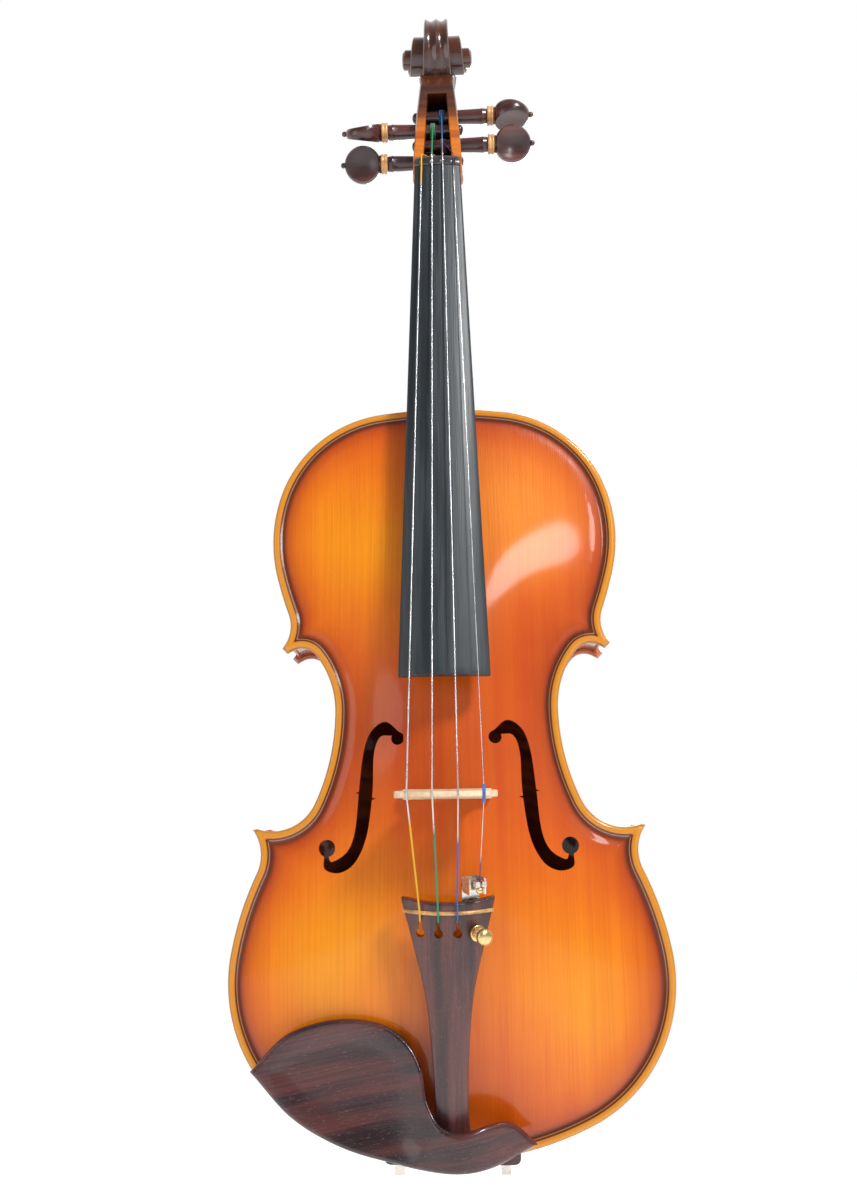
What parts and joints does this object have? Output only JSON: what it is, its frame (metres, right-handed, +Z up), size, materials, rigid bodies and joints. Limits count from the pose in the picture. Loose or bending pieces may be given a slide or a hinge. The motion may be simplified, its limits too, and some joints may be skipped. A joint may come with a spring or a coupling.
{
  "type": "violin",
  "caption": "Full-size violin with carved, arched plates, scroll, turning pegs, arched bridge, tailpiece with fine tuner, and a clamped chin rest.",
  "frame": {"origin": "on the end button's axis, at the outer end of its round head", "axes": "+Z up the neck towards the scroll, +X towards the treble side, belly facing -Y"},
  "size_m": [0.2068, 0.0944, 0.5993],
  "materials": {
    "spruce": "glossy amber oil varnish over straight-grained spruce",
    "maple": "glossy red-brown oil varnish over flamed maple",
    "purfling": "dyed strips under varnish",
    "inner_spruce": "bare",
    "ebony": "satin, oiled",
    "rosewood": "polished, open pores",
    "boxwood": "polished",
    "bridge_maple": "bare, burnished",
    "string_metal": "wound, bright",
    "nylon_cord": "smooth",
    "brass": "worn gold lacquer",
    "steel": "machined",
    "nickel": "nickel plated",
    "cork": "cork sheet",
    "string_sleeve": "soft plastic tube"
  },
  "bodies": {
    "body": {"top_plate": "spruce", "back_plate": "maple", "purfling_top": "purfling", "purfling_back": "purfling", "rib_lower_left": "maple", "rib_waist_left": "maple", "rib_upper_left": "maple", "rib_lower_right": "maple", "rib_waist_right": "maple", "rib_upper_right": "maple", "end_block": "inner_spruce", "neck_block": "inner_spruce", "corner_blocks": "inner_spruce", "linings_top": "inner_spruce", "linings_back": "inner_spruce", "bass_bar": "inner_spruce", "sound_post": "inner_spruce", "neck": "maple", "fingerboard": "ebony", "nut": "ebony", "saddle": "ebony", "bridge": "bridge_maple", "tailpiece": "rosewood", "tailpiece_fret": "boxwood", "tail_gut": "nylon_cord", "tail_gut_nuts": "brass", "end_button": "rosewood", "string_g": "string_metal", "string_d": "string_metal", "string_a": "string_metal", "string_e": "string_metal", "string_balls": "brass", "string_tube_e": "string_sleeve", "tuner_bracket": "nickel", "tuner_ring_nut": "brass", "tuner_pin": "steel", "chin_rest": "rosewood", "chin_rest_corks": "cork", "clamp_posts": "nickel"},
    "peg_g": {"peg_g": "rosewood", "peg_collar_g": "boxwood", "winding_g": "string_metal"},
    "peg_d": {"peg_d": "rosewood", "peg_collar_d": "boxwood", "winding_d": "string_metal"},
    "peg_a": {"peg_a": "rosewood", "peg_collar_a": "boxwood", "winding_a": "string_metal"},
    "peg_e": {"peg_e": "rosewood", "peg_collar_e": "boxwood", "winding_e": "string_metal"},
    "tuner_slide": {"tuner_screw": "steel"},
    "tuner_turn": {"tuner_knob": "brass"},
    "tuner_arm": {"tuner_lever": "nickel", "e_string_ball": "brass"},
    "barrel_left": {"barrel_left": "nickel"},
    "barrel_right": {"barrel_right": "nickel"},
    "clamp": {"clamp_foot": "nickel", "clamp_corks": "cork"}
  },
  "joints": [
    {"name": "peg_g_turn", "type": "hinge", "parent": "body", "child": "peg_g", "pos_m": [0, -0.0076, 0.505], "axis": [1, 0, 0], "continuous": true},
    {"name": "peg_d_turn", "type": "hinge", "parent": "body", "child": "peg_d", "pos_m": [0, -0.0032, 0.5265], "axis": [1, 0, 0], "continuous": true},
    {"name": "peg_a_turn", "type": "hinge", "parent": "body", "child": "peg_a", "pos_m": [0, -0.0001, 0.5365], "axis": [1, 0, 0], "continuous": true},
    {"name": "peg_e_turn", "type": "hinge", "parent": "body", "child": "peg_e", "pos_m": [0, -0.0059, 0.5157], "axis": [1, 0, 0], "continuous": true},
    {"name": "tuner_screw_slide", "type": "slide", "parent": "body", "child": "tuner_slide", "axis": [-0.3875, 0.9095, 0.1506], "range_m": [-0.0015, 0.0015]},
    {"name": "tuner_knob_turn", "type": "hinge", "parent": "tuner_slide", "child": "tuner_turn", "pos_m": [0.01589, -0.0542, 0.1063], "axis": [-0.3875, 0.9095, 0.1506], "range_deg": [-1085, 1085]},
    {"name": "tuner_lever_tilt", "type": "hinge", "parent": "body", "child": "tuner_arm", "pos_m": [0.01201, -0.04845, 0.12803], "axis": [0.9219, 0.3823, 0.0633], "range_deg": [-4.3, 4.3]},
    {"name": "barrel_left_turn", "type": "hinge", "parent": "body", "child": "barrel_left", "pos_m": [-0.0235, 0, 0.0047], "axis": [0, 1, 0], "range_deg": [0, 1085]},
    {"name": "barrel_right_turn", "type": "hinge", "parent": "body", "child": "barrel_right", "pos_m": [0.0235, 0, 0.0047], "axis": [0, 1, 0], "range_deg": [0, 1085]},
    {"name": "clamp_slide", "type": "slide", "parent": "body", "child": "clamp", "axis": [0, 1, 0], "range_m": [0, 0.0015]}
  ],
  "couplings": [
    {"joint": "tuner_knob_turn", "follows": "tuner_screw_slide", "rad_per_m": 12566},
    {"joint": "tuner_lever_tilt", "follows": "tuner_screw_slide", "rad_per_m": 48.78},
    {"joint": "barrel_left_turn", "follows": "clamp_slide", "rad_per_m": 12566},
    {"joint": "barrel_right_turn", "follows": "clamp_slide", "rad_per_m": 12566}
  ]
}
